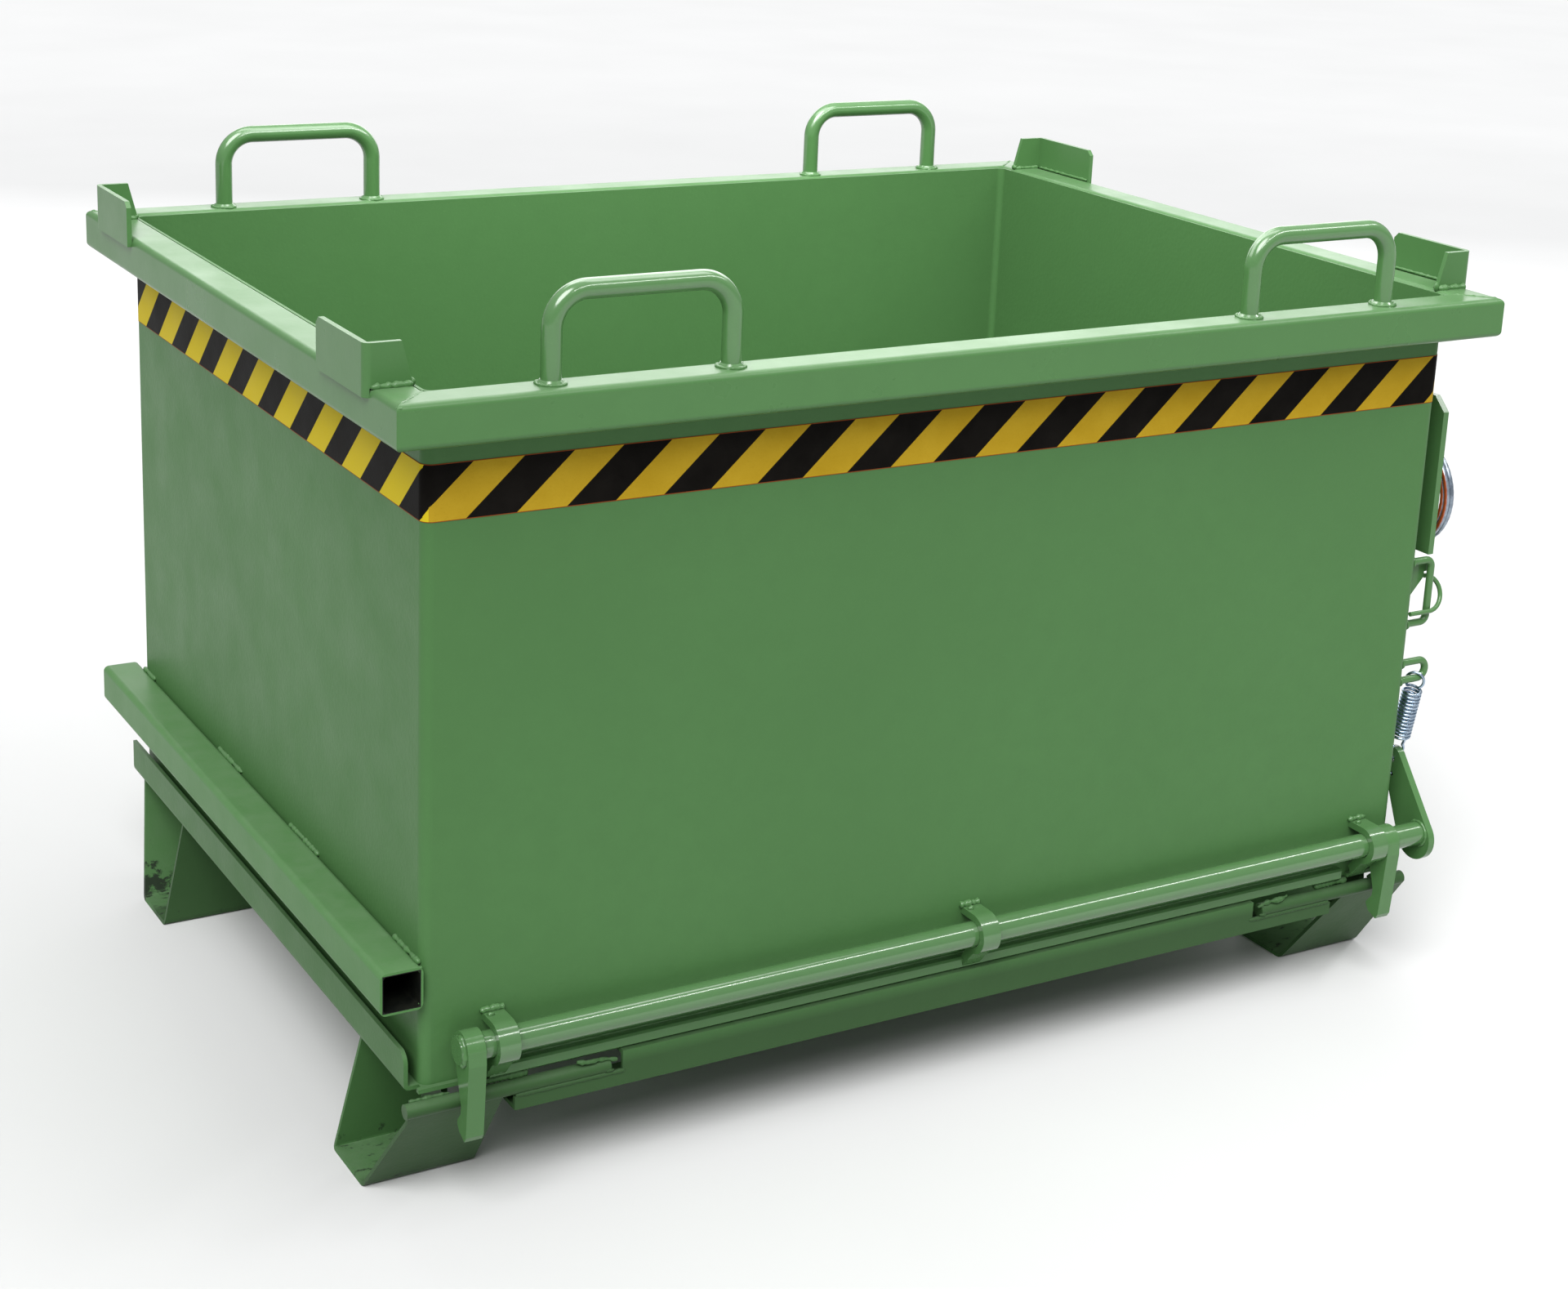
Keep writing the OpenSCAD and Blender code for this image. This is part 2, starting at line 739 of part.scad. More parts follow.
// ---- release rope ----
module rope_ferrule() {
    color(zinc) in_body() translate([spring_x, 0, rope_hole[1]]) {
        translate([0, rope_hole[0] + ferrule_ring_r, 0])
            rotate_extrude() translate([ferrule_ring_r, 0]) circle(spring_wire_r);
        translate([0, ferrule_y, 0]) rotate([-90, 0, 0]) cylinder(r = ferrule_r, h = ferrule_l);
    }
}
module rope_line() {
    path = smooth(rope_route, rope_steps);
    last = len(path) - 1;
    function ahead(i) = unit(path[min(i + 1, last)] - path[max(i - 1, 0)]);
    function ring(i) =
        let (t = ahead(i), u = unit(cross(t, [1, 0, 0])), v = cross(t, u))
        [for (k = [0:rope_sides - 1])
            let (a = 360 * k / rope_sides)
            path[i] + rope_d / 2 * (cos(a) * u + sin(a) * v)];
    points = [for (i = [0:last]) each ring(i)];
    sides = [
        for (i = [0:last - 1], k = [0:rope_sides - 1])
            let (a = i * rope_sides + k, b = i * rope_sides + (k + 1) % rope_sides)
            [a, b, b + rope_sides, a + rope_sides]
    ];
    start = [[for (k = [rope_sides - 1:-1:0]) k]];
    end = [[for (k = [0:rope_sides - 1]) last * rope_sides + k]];
    color(rope_grey) in_body() translate([body_w, 0, 0])
        polyhedron(points, concat(start, sides, end), convexity = 8);
}
module rope_coil() {
    color(rope_grey) in_body() translate([coil_x, coil_y, coil_z]) rotate([0, 90, 0])
        rotate_extrude() translate([coil_d / 2 - rope_d, -rope_d])
            rounded_rect(2 * rope_d, 2 * rope_d, rope_d / 2);
}

wall_front();
wall_back();
wall_left();
wall_right();
rim_front();
rim_back();
rim_left();
rim_right();
bow_front_left();
bow_front_right();
bow_back_left();
bow_back_right();
stack_front_left();
stack_front_right();
stack_back_left();
stack_back_right();
warning_tape();
side_tube_left();
side_tube_right();
front_ledge();
strap_left();
strap_middle();
strap_right();
rope_holder();
rope_bracket();
bracket_gusset();
rope_hoop();
rope_guide();
spring_eye();
return_spring();
hinge_ears_left();
hinge_ears_right();
hinge_pin_left();
hinge_pin_right();
floor_sheet();
floor_lip_left();
floor_lip_right();
front_beam();
back_beam();
cross_member_left();
cross_member_right();
latch_bar_left();
latch_bar_right();
foot_front_left();
foot_front_right();
foot_back_left();
foot_back_right();
foot_rib_left();
foot_rib_right();
floor_knuckle_left();
floor_knuckle_right();
latch_shaft();
hook_left();
hook_right();
latch_lever();
rope_line();
rope_coil();
rope_ferrule();
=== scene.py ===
import bpy
import bmesh
import math
import random
from mathutils import Matrix, Vector, noise


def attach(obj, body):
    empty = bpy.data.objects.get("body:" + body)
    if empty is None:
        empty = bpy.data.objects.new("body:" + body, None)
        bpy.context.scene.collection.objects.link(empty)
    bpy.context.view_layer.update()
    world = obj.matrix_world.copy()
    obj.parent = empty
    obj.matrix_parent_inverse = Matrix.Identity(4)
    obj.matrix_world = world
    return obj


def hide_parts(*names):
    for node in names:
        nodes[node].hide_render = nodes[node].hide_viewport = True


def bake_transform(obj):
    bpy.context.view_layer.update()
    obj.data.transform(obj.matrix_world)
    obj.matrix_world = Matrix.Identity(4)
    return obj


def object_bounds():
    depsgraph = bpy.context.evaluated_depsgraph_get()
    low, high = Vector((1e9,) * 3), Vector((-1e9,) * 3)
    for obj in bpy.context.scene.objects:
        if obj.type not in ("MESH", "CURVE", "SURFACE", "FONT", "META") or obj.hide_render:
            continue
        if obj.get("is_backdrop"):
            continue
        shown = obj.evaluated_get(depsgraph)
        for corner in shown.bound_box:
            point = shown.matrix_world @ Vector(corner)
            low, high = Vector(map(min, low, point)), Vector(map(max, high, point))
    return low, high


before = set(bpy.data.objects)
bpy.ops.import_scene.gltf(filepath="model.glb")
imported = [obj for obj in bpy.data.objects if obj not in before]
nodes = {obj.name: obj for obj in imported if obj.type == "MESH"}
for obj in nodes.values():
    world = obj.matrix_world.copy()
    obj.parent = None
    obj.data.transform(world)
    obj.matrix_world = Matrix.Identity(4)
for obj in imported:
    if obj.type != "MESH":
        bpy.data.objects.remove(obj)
cad_low, cad_high = (v.copy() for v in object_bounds())


# The box's length and depth, and how far its bottom edge is above the ground, in millimetres
BOX_LONG, BOX_DEEP, BOX_LIFT = 1120, 800, 125


def at(x, y, z):
    """A point given in millimetres from the box's left front bottom corner."""
    return Vector(((x - BOX_LONG / 2) / 1000, (y - BOX_DEEP / 2) / 1000, (z + BOX_LIFT) / 1000))


# ---- camera ----
camera_data = bpy.data.cameras.new("camera")
camera_data.lens = 60.54
camera_data.sensor_width = 36
camera_data.shift_x = 0
camera_data.shift_y = -0.12
camera = bpy.data.objects.new("camera", camera_data)
camera.location = (-1.3628, -2.3326, 1.2914)
camera.rotation_euler = (1.29792, -0.04162, -0.52304)
bpy.context.scene.collection.objects.link(camera)
bpy.context.scene.camera = camera


# ---- node materials ----
class Material:
    """A node material, with short calls that add and join its nodes."""

    def __init__(self, name):
        self.material = bpy.data.materials.new(name)
        self.material.use_nodes = True
        self.tree = self.material.node_tree
        self.shader = self.tree.nodes["Principled BSDF"]
        self.place = self.tree.nodes.new("ShaderNodeTexCoord").outputs["Object"]

    def node(self, kind, inputs=None, **settings):
        node = self.tree.nodes.new(kind)
        for key, value in settings.items():
            setattr(node, key, value)
        for key, value in (inputs or {}).items():
            self.put(node.inputs[key], value)
        return node

    def put(self, socket, value):
        if isinstance(value, bpy.types.NodeSocket):
            self.tree.links.new(value, socket)
        else:
            socket.default_value = value

    def math(self, operation, *values):
        node = self.node("ShaderNodeMath", operation=operation)
        for socket, value in zip(node.inputs, values):
            self.put(socket, value)
        return node.outputs[0]

    def scaled(self, scale):
        node = self.node("ShaderNodeMapping", {"Vector": self.place, "Scale": scale})
        return node.outputs[0]

    def noise(self, scale, detail=4.0, rough=0.55, place=None):
        inputs = {"Vector": place or self.place, "Scale": scale, "Detail": detail,
                  "Roughness": rough}
        return self.node("ShaderNodeTexNoise", inputs).outputs["Fac"]

    def range(self, value, low, high, to_low=0.0, to_high=1.0):
        inputs = {"Value": value, "From Min": low, "From Max": high,
                  "To Min": to_low, "To Max": to_high}
        return self.node("ShaderNodeMapRange", inputs, clamp=True).outputs[0]

    def mix(self, factor, first, second, blend="MIX"):
        node = self.node("ShaderNodeMix", data_type="RGBA", blend_type=blend)
        self.put(node.inputs["Factor"], factor)
        self.put(node.inputs[6], first)
        self.put(node.inputs[7], second)
        return node.outputs[2]

    def bump(self, height, distance, normal=None):
        inputs = {"Height": height, "Distance": distance, "Strength": 1.0}
        if normal is not None:
            inputs["Normal"] = normal
        return self.node("ShaderNodeBump", inputs).outputs[0]

    def axes(self):
        node = self.node("ShaderNodeSeparateXYZ", {"Vector": self.place})
        return node.outputs[0], node.outputs[1], node.outputs[2]


def shade(colour, factor):
    return tuple(c * factor for c in colour[:3]) + (1.0,)


def paint(name, colour, roughness, peel, waves, ior, dust=0.08):
    """Sprayed enamel on steel: cloudy colour, orange peel, dust, rubs and fine scratches."""
    m = Material(name)
    clouds = m.noise(2.3, 3.0, 0.5)
    mottle = m.noise(38.0, 5.0, 0.65)
    speckle = m.noise(420.0, 2.0, 0.6)
    base = m.mix(m.range(clouds, 0.3, 0.7), shade(colour, 0.955), shade(colour, 1.045))
    base = m.mix(m.range(mottle, 0.35, 0.68, 0.0, 0.5), base, shade(colour, 0.93))
    base = m.mix(m.range(speckle, 0.62, 0.72, 0.0, 0.35), base, shade(colour, 1.16))
    up = m.node("ShaderNodeSeparateXYZ",
                {"Vector": m.node("ShaderNodeNewGeometry").outputs["Normal"]}).outputs[2]
    settled = m.math("MULTIPLY", m.range(up, 0.2, 0.95), m.range(mottle, 0.3, 0.7, 0.3, 1.0))
    base = m.mix(m.math("MULTIPLY", settled, dust), base, (0.55, 0.60, 0.52, 1.0))
    streaks = m.noise(1.0, 6.0, 0.7, m.scaled((9.0, 9.0, 420.0)))
    other = m.noise(1.0, 6.0, 0.7, m.scaled((300.0, 300.0, 7.0)))
    lines = m.math("MAXIMUM", m.range(streaks, 0.71, 0.76), m.range(other, 0.71, 0.76))
    patch = m.range(m.noise(5.0, 2.0, 0.5), 0.52, 0.66)
    scratched = m.math("MULTIPLY", lines, patch)
    base = m.mix(m.math("MULTIPLY", scratched, 0.35), base, shade(colour, 1.35))
    m.put(m.shader.inputs["Base Color"], base)
    gloss = m.range(m.noise(14.0, 4.0, 0.6), 0.3, 0.7, 0.86 * roughness, 1.16 * roughness)
    gloss = m.math("ADD", gloss, m.math("MULTIPLY", settled, 0.28 * roughness))
    m.put(m.shader.inputs["Roughness"], gloss)
    bend = m.bump(m.noise(3.4, 2.0, 0.4), waves)
    fine = m.node("ShaderNodeTexVoronoi", {"Vector": m.place, "Scale": 260.0},
                  feature="SMOOTH_F1").outputs["Distance"]
    skin = m.bump(m.math("ADD", fine, m.noise(150.0, 3.0, 0.5)), peel, bend)
    m.put(m.shader.inputs["Normal"], m.bump(scratched, -0.00002, skin))
    m.shader.inputs["IOR"].default_value = ior
    return m


GREEN = (0.058, 0.147, 0.047, 1.0)
wall = paint("wall_enamel", GREEN, 0.44, 0.00012, 0.0006, 1.25)
rim = paint("frame_enamel", shade(GREEN, 1.06), 0.30, 0.00003, 0.00015, 1.33)
fitting = paint("fitting_enamel", shade(GREEN, 1.02), 0.17, 0.000005, 0.00002, 1.42, 0.04)
shaft_green = paint("shaft_enamel", shade(GREEN, 0.98), 0.13, 0.000005, 0.00002, 1.75, 0.03)
# Painted light: the bows take a lighter copy of the green, for their lit tops
bow_green = paint("bow_enamel", shade(GREEN, 1.12), 0.16, 0.00001, 0.00004, 1.7, 0.10)
# Painted shade: the floor flap takes a darker copy of the green
floor_green = paint("floor_enamel", shade(GREEN, 0.92), 0.40, 0.00008, 0.0005, 1.22)


def add_floor_wear_and_shade(m):
    """Painted shade under the floor, and dark rubs low on the feet, from the ground and tines."""
    x, y, z = m.axes()
    socket = m.shader.inputs["Base Color"]
    base = socket.links[0].from_socket
    rub = m.noise(60.0, 7.0, 0.72, m.scaled((1.0, 2.4, 0.8)))
    low = m.range(z, 0.004, 0.070, 0.16, -0.18)
    back = m.range(y, 0.316, 0.326, 0.0, 0.22)
    left = m.range(x, -0.535, -0.575, 0.0, 1.0)
    near_back = m.math("MULTIPLY", back, left)
    mask = m.range(m.math("ADD", m.math("ADD", rub, low), near_back), 0.72, 0.80, 0.0, 0.85)
    # Painted shade: below the floor's level, the front parts and those by the feet's inner walls
    # get a dark green mixed in
    front_part = m.range(y, -0.338, -0.325, 1.0, 0.1)
    from_inner_wall = m.math("ABSOLUTE", m.math("SUBTRACT", y, 0.255))
    shaded_parts = m.math("MAXIMUM", front_part, m.range(from_inner_wall, 0.03, 0.04, 1.0, 0.1))
    grime_and_shade = m.math("MULTIPLY", m.range(z, 0.108, 0.122, 0.52, 0.0), shaded_parts)
    base = m.mix(grime_and_shade, base, (0.012, 0.022, 0.010, 1.0))
    m.put(socket, m.mix(mask, base, (0.018, 0.020, 0.018, 1.0)))
    m.put(m.shader.inputs["Metallic"], m.math("MULTIPLY", mask, 0.35))


add_floor_wear_and_shade(floor_green)


# The side tubes' middle lines, half the width that counts as inside, and where the back caps start
TUBE_X, TUBE_Z, TUBE_INSIDE, TUBE_CAP_Y = 0.580, 0.223, 0.0178, 0.4215


def make_side_tube():
    """Enamel like the rim's on the outside, in a lighter copy of the green as painted light on its
    lit top, and dark steel inside, where no paint reached.
    """
    # Painted light: a lighter copy of the walls' green
    m = paint("tube_enamel", shade(GREEN, 1.16), 0.36, 0.00003, 0.00015, 1.22)
    x, y, z = m.axes()
    across = m.math("SUBTRACT", m.math("ABSOLUTE", x), TUBE_X)
    across = m.math("LESS_THAN", m.math("ABSOLUTE", across), TUBE_INSIDE)
    upward = m.math("ABSOLUTE", m.math("SUBTRACT", z, TUBE_Z))
    upward = m.math("LESS_THAN", upward, TUBE_INSIDE)
    before_cap = m.math("LESS_THAN", y, TUBE_CAP_Y)
    inside = m.math("MULTIPLY", across, m.math("MULTIPLY", upward, before_cap))
    socket = m.shader.inputs["Base Color"]
    steel = m.mix(m.range(m.noise(70.0, 5.0, 0.7), 0.4, 0.65), (0.005, 0.006, 0.005, 1.0),
                  (0.011, 0.012, 0.009, 1.0))
    m.put(socket, m.mix(inside, socket.links[0].from_socket, steel))
    return m


side_tube = make_side_tube()


# The tape's middle height, and half its width without the reddish edges
TAPE_Z, TAPE_HALF = 0.666, 0.0241
# Its stripes: the height they are measured from, pitch, place of the first, and sideways lean
STRIPE_Z, STRIPE_PITCH, STRIPE_START, STRIPE_LEAN = 0.641, 0.0926, 0.0093, 1.08
# How much closer the stripes are on the box's short sides
STRIPE_SQUEEZE = 1.043
# Where the back's run ends: the front, the right side and the back added up
TAPE_ROUND = 3.0744


def make_tape():
    """Yellow and black barrier tape whose slanted stripes run round the box."""
    m = Material("barrier_tape")
    x, y, z = m.axes()
    normal = m.node("ShaderNodeNewGeometry").outputs["Normal"]
    side_x, side_y, _ = m.node("ShaderNodeSeparateXYZ", {"Vector": normal}).outputs
    right = m.math("ADD", x, BOX_LONG / 2000)
    back = m.math("MULTIPLY", m.math("ADD", y, BOX_DEEP / 2000), STRIPE_SQUEEZE)
    left_face = m.math("LESS_THAN", side_x, -0.5)
    right_face = m.math("GREATER_THAN", side_x, 0.5)
    front_face = m.math("LESS_THAN", side_y, -0.5)
    back_face = m.math("GREATER_THAN", side_y, 0.5)
    run = m.math("MULTIPLY", left_face, m.math("MULTIPLY", back, -1.0))
    run = m.math("ADD", run, m.math("MULTIPLY", front_face, right))
    run = m.math("ADD", run, m.math("MULTIPLY", right_face, m.math("ADD", back, BOX_LONG / 1000)))
    from_back_right = m.math("SUBTRACT", TAPE_ROUND, right)
    run = m.math("ADD", run, m.math("MULTIPLY", back_face, from_back_right))
    rise = m.math("SUBTRACT", z, STRIPE_Z)
    slant = m.math("SUBTRACT", run, m.math("MULTIPLY", rise, STRIPE_LEAN))
    stripe = m.math("DIVIDE", m.math("ADD", slant, STRIPE_START), STRIPE_PITCH)
    turn = m.math("FRACT", m.math("ADD", stripe, 20.0))
    black = m.range(m.math("ABSOLUTE", m.math("SUBTRACT", turn, 0.25)), 0.247, 0.253)
    worn = m.noise(24.0, 4.0, 0.6)
    grain = m.noise(520.0, 2.0, 0.6)
    yellow = m.mix(m.range(worn, 0.3, 0.7), (0.34, 0.215, 0.012, 1.0), (0.39, 0.255, 0.018, 1.0))
    yellow = m.mix(m.range(grain, 0.55, 0.7, 0.0, 0.3), yellow, (0.30, 0.19, 0.010, 1.0))
    # Painted light: the tape on the box's left face is a lighter yellow
    yellow = m.mix(m.math("MULTIPLY", left_face, 0.85), yellow, (0.56, 0.44, 0.016, 1.0))
    dark = m.mix(m.range(worn, 0.3, 0.7), (0.004, 0.0035, 0.003, 1.0), (0.008, 0.007, 0.006, 1.0))
    base = m.mix(black, yellow, dark)
    from_middle = m.math("ABSOLUTE", m.math("SUBTRACT", z, TAPE_Z))
    edge = m.range(from_middle, TAPE_HALF, TAPE_HALF + 0.0005)
    m.put(m.shader.inputs["Base Color"], m.mix(edge, base, (0.20, 0.045, 0.012, 1.0)))
    m.put(m.shader.inputs["Roughness"], m.range(worn, 0.3, 0.7, 0.34, 0.46))
    m.shader.inputs["IOR"].default_value = 1.25
    m.shader.inputs["Specular IOR Level"].default_value = 0.05
    beads = m.node("ShaderNodeTexVoronoi", {"Vector": m.place, "Scale": 700.0})
    skin = m.bump(beads.outputs["Distance"], 0.00005)
    m.put(m.shader.inputs["Normal"], m.bump(m.noise(30.0, 3.0), 0.0002, skin))
    return m


tape = make_tape()


def make_zinc():
    """Bright zinc plate on drawn wire: bluish, lightly clouded, with drawing lines."""
    m = Material("bright_zinc")
    cloud = m.noise(130.0, 4.0, 0.6)
    base = m.mix(m.range(cloud, 0.35, 0.65), (0.24, 0.33, 0.44, 1.0), (0.42, 0.51, 0.61, 1.0))
    spots = m.range(m.noise(600.0, 3.0, 0.6), 0.62, 0.70, 0.0, 0.4)
    m.put(m.shader.inputs["Base Color"], m.mix(spots, base, (0.16, 0.20, 0.26, 1.0)))
    m.shader.inputs["Metallic"].default_value = 1.0
    m.put(m.shader.inputs["Roughness"], m.range(cloud, 0.3, 0.7, 0.20, 0.34))
    m.put(m.shader.inputs["Normal"], m.bump(m.noise(900.0, 3.0, 0.6), 0.00004))
    return m


zinc = make_zinc()


def make_rope():
    """Steel wire strands under a clear sheath, reddish on the side next to the wall."""
    m = Material("sheathed_wire_rope")
    cloud = m.noise(90.0, 4.0, 0.6)
    base = m.mix(m.range(cloud, 0.35, 0.65), (0.13, 0.16, 0.20, 1.0), (0.32, 0.38, 0.45, 1.0))
    grime_and_shade = m.range(m.noise(26.0, 5.0, 0.7), 0.56, 0.66, 0.0, 0.7)
    base = m.mix(grime_and_shade, base, (0.10, 0.10, 0.10, 1.0))
    x, _, z = m.axes()
    inner = m.math("MULTIPLY", m.range(x, 0.5995, 0.5988), m.range(z, 0.44, 0.47))
    m.put(m.shader.inputs["Base Color"], m.mix(inner, base, (0.42, 0.075, 0.012, 1.0)))
    m.shader.inputs["Metallic"].default_value = 0.55
    m.put(m.shader.inputs["Roughness"], m.range(cloud, 0.3, 0.7, 0.24, 0.40))
    m.shader.inputs["Coat Weight"].default_value = 0.6
    m.shader.inputs["Coat Roughness"].default_value = 0.12
    m.put(m.shader.inputs["Normal"], m.bump(m.noise(1400.0, 2.0, 0.6), 0.00003))
    return m


rope_skin = make_rope()

SLOT_MATERIALS = {
    "wall_paint": wall, "frame_paint": rim, "fitting_paint": fitting,
    "floor_paint": floor_green, "warning_tape": tape, "zinc_steel": zinc,
    "rope_sheath": rope_skin,
}


# ---- pieces ----
def piece(name, mesh, body, slot):
    """A new piece that takes a slot's material, and rides on a body unless it is blended."""
    obj = bpy.data.objects.new(name, mesh)
    bpy.context.scene.collection.objects.link(obj)
    mesh.materials.append(SLOT_MATERIALS[slot].material)
    if body:
        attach(obj, body)
    return obj


def frames_along(points, closed=False):
    """For each point of a path: its place and two axes square to the path."""
    count = len(points)
    result = []
    side = None
    for i, p in enumerate(points):
        before = points[(i - 1) % count] if closed or i > 0 else p
        after = points[(i + 1) % count] if closed or i < count - 1 else p
        ahead = (after - before).normalized()
        if side is None:
            side = ahead.cross(Vector((1, 0, 0)))
            if side.length < 0.2:
                side = ahead.cross(Vector((0, 1, 0)))
        side = (side - ahead * side.dot(ahead)).normalized()
        result.append((p, side, ahead.cross(side)))
    return result


def add_tube(bm, points, ring, closed=False):
    """Sweeps an outline along a path; ring(i) is the outline at point i, as (u, v) pairs."""
    rows = []
    for i, (p, u, v) in enumerate(frames_along(points, closed)):
        rows.append([bm.verts.new(p + u * a + v * b) for a, b in ring(i)])
    count = len(rows)
    for i in range(count if closed else count - 1):
        one, two = rows[i], rows[(i + 1) % count]
        for k in range(len(one)):
            n = (k + 1) % len(one)
            bm.faces.new((one[k], one[n], two[n], two[k]))
    if not closed:
        bm.faces.new(list(reversed(rows[0])))
        bm.faces.new(rows[-1])


def finish_mesh(bm, name):
    bmesh.ops.recalc_face_normals(bm, faces=bm.faces)
    mesh = bpy.data.meshes.new(name)
    bm.to_mesh(mesh)
    bm.free()
    for face in mesh.polygons:
        face.use_smooth = True
    return mesh


def smooth_path(points, steps):
    """Catmull-Rom points through the given ones."""
    padded = [2 * points[0] - points[1]] + list(points) + [2 * points[-1] - points[-2]]
    result = []
    for i in range(1, len(padded) - 2):
        a, b, c, d = padded[i - 1:i + 3]
        for s in range(steps):
            t = s / steps
            result.append(0.5 * (2 * b + (c - a) * t + (2 * a - 5 * b + 4 * c - d) * t * t
                                 + (3 * b - a - 3 * c + d) * t ** 3))
    result.append(padded[-2])
    return result


# ---- release rope ----
ROPE_ROUTE = [
    (25, 62.7, 90), (25, 90, 90), (25, 120, 91), (25, 150, 94), (26, 180, 104),
    (27, 200, 123), (28, 212, 150), (30, 216, 185), (32, 213, 220), (34, 204, 255),
    (36, 190, 288), (38, 175, 319), (40, 157, 355), (41, 139, 392), (41, 121.6, 427.5),
]
ROPE_D = 6
COIL_Y, COIL_Z = 66, 400
# The angle round the coil at which the route reaches it, and how far outside its first turn
COIL_START = math.atan2(27.5, 55.6)
COIL_ENTRY = 6
# Radius and sideways place of each turn, then where in the turn it changes place
COIL_PLACES = [(56, 41), (50, 41), (50, 47), (56, 47)]
COIL_SHIFTS = [(325, 360), (290, 325), (255, 290)]
COIL_LAST = 250


def ease(low, high, value):
    t = min(1.0, max(0.0, (value - low) / (high - low)))
    return t * t * (3 - 2 * t)


def rope_path():
    points = smooth_path([at(BOX_LONG + x, y, z) for x, y, z in ROPE_ROUTE], 8)
    for turn, (r, x) in enumerate(COIL_PLACES):
        last = COIL_LAST if turn == 3 else 360
        for angle in range(5 if turn == 0 else 0, last, 5):
            radius, side = r, x
            if turn < 3:
                t = ease(*COIL_SHIFTS[turn], angle)
                radius += (COIL_PLACES[turn + 1][0] - r) * t
                side += (COIL_PLACES[turn + 1][1] - x) * t
            if turn == 0:
                radius += COIL_ENTRY * (1 - ease(-20, 70, angle)) / (1 - ease(-20, 70, 0))
            a = COIL_START + math.radians(angle)
            points.append(at(BOX_LONG + side, COIL_Y + radius * math.cos(a),
                             COIL_Z + radius * math.sin(a)))
    return points


def resampled(points, gap):
    """Points at an even distance along a path."""
    result = [points[0].copy()]
    left = gap
    for a, b in zip(points, points[1:]):
        length = (b - a).length
        while left <= length:
            result.append(a.lerp(b, left / length))
            left += gap
        left -= length
    result.append(points[-1].copy())
    return result


def strands(count, radius, depth, pitch, gap, sides):
    """The outline of a laid wire rope, turned a little further at each step."""
    def ring(i):
        turned = 2 * math.pi * i * gap / pitch
        result = []
        for k in range(sides):
            a = 2 * math.pi * k / sides
            r = radius - depth * abs(math.sin(count * (a - turned) / 2)) ** 3
            result.append((r * math.cos(a), r * math.sin(a)))
        return result
    return ring


ROPE_STEP = 0.0025
rope_points = resampled(rope_path(), ROPE_STEP)
rope_outline = strands(count=6, radius=ROPE_D / 2000, depth=0.0004, pitch=0.042,
                       gap=ROPE_STEP, sides=24)
bm = bmesh.new()
add_tube(bm, rope_points, rope_outline)
release_rope = piece("release_rope", finish_mesh(bm, "release_rope"), None, "rope_sheath")
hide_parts("rope_line", "rope_coil")

# The rope's free end: a crimped sleeve and a small eye
SLEEVE_R, CRIMP, CHAMFER = 0.0042, 0.0005, 0.0007
EYE_R, EYE_WIRE_R, EYE_AWAY = 0.0062, 0.0014, 0.0215
bm = bmesh.new()
tip = rope_points[-1]
heading = (rope_points[-1] - rope_points[-4]).normalized()
sleeve = [tip + heading * (d / 1000) for d in range(-9, 16)]


def sleeve_ring(i):
    radius = SLEEVE_R
    if 5 < i < 9 or 13 < i < 17:
        radius -= CRIMP
    if i in (0, len(sleeve) - 1):
        radius -= CHAMFER
    return [(radius * math.cos(k * math.pi / 12), radius * math.sin(k * math.pi / 12))
            for k in range(24)]


add_tube(bm, sleeve, sleeve_ring)
eye_middle = tip + heading * EYE_AWAY
eye_side = heading.cross(Vector((1, 0, 0))).normalized()
eye = [eye_middle + (heading * math.cos(a) + eye_side * math.sin(a)) * EYE_R
       for a in (math.radians(k * 10) for k in range(36))]


def wire(radius):
    """A plain round outline, the same all along."""
    angles = [2 * math.pi * k / 12 for k in range(12)]
    outline = [(radius * math.cos(a), radius * math.sin(a)) for a in angles]
    return lambda i: outline


add_tube(bm, eye, wire(EYE_WIRE_R), closed=True)
rope_end = piece("rope_end_eye", finish_mesh(bm, "rope_end_eye"), "container", "zinc_steel")

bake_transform(release_rope)

# ---- return spring ----
# Its ends, as y and z, and below them its wire, turns and end loops, all in millimetres
LOW, HIGH = (28, 107), (10, 206)
SPRING_LONG = math.hypot(HIGH[0] - LOW[0], HIGH[1] - LOW[1])
SPRING_LEAN = Matrix.Rotation(math.atan2(LOW[0] - HIGH[0], HIGH[1] - LOW[1]), 3, "X")
WIRE_R, TURN_R, LOOP_R = 1.6, 9.2, 9.4
UPPER_LOOP = SPRING_LONG - 3
BODY_TOP = UPPER_LOOP - LOOP_R
BODY_LOW = BODY_TOP - 63
TURNS, TURN_STEPS = 14, 24
LOOP_TURN = Matrix.Rotation(math.radians(40), 3, "Z")


def spring_path():
    points = []
    for k in range(-235, 46, 10):
        a = math.radians(k)
        points.append(Vector((LOOP_R * math.cos(a), 0, LOOP_R + LOOP_R * math.sin(a))))
    points.append(Vector((LOOP_R + 0.2, 1.5, BODY_LOW - 6)))
    rise = BODY_TOP - BODY_LOW - 2 * WIRE_R
    last = TURNS * TURN_STEPS + 6
    for k in range(last + 1):
        a = 2 * math.pi * k / TURN_STEPS
        points.append(Vector((TURN_R * math.cos(a), TURN_R * math.sin(a),
                              BODY_LOW + WIRE_R + rise * (k / last))))
    for k in range(-30, 236, 10):
        a = math.radians(k)
        points.append(LOOP_TURN @ Vector((-0.5, LOOP_R * math.cos(a), 0))
                      + Vector((0, 0, UPPER_LOOP + LOOP_R * math.sin(a))))
    origin = at(1145, LOW[0], LOW[1])
    return [origin + SPRING_LEAN @ p / 1000 for p in points]


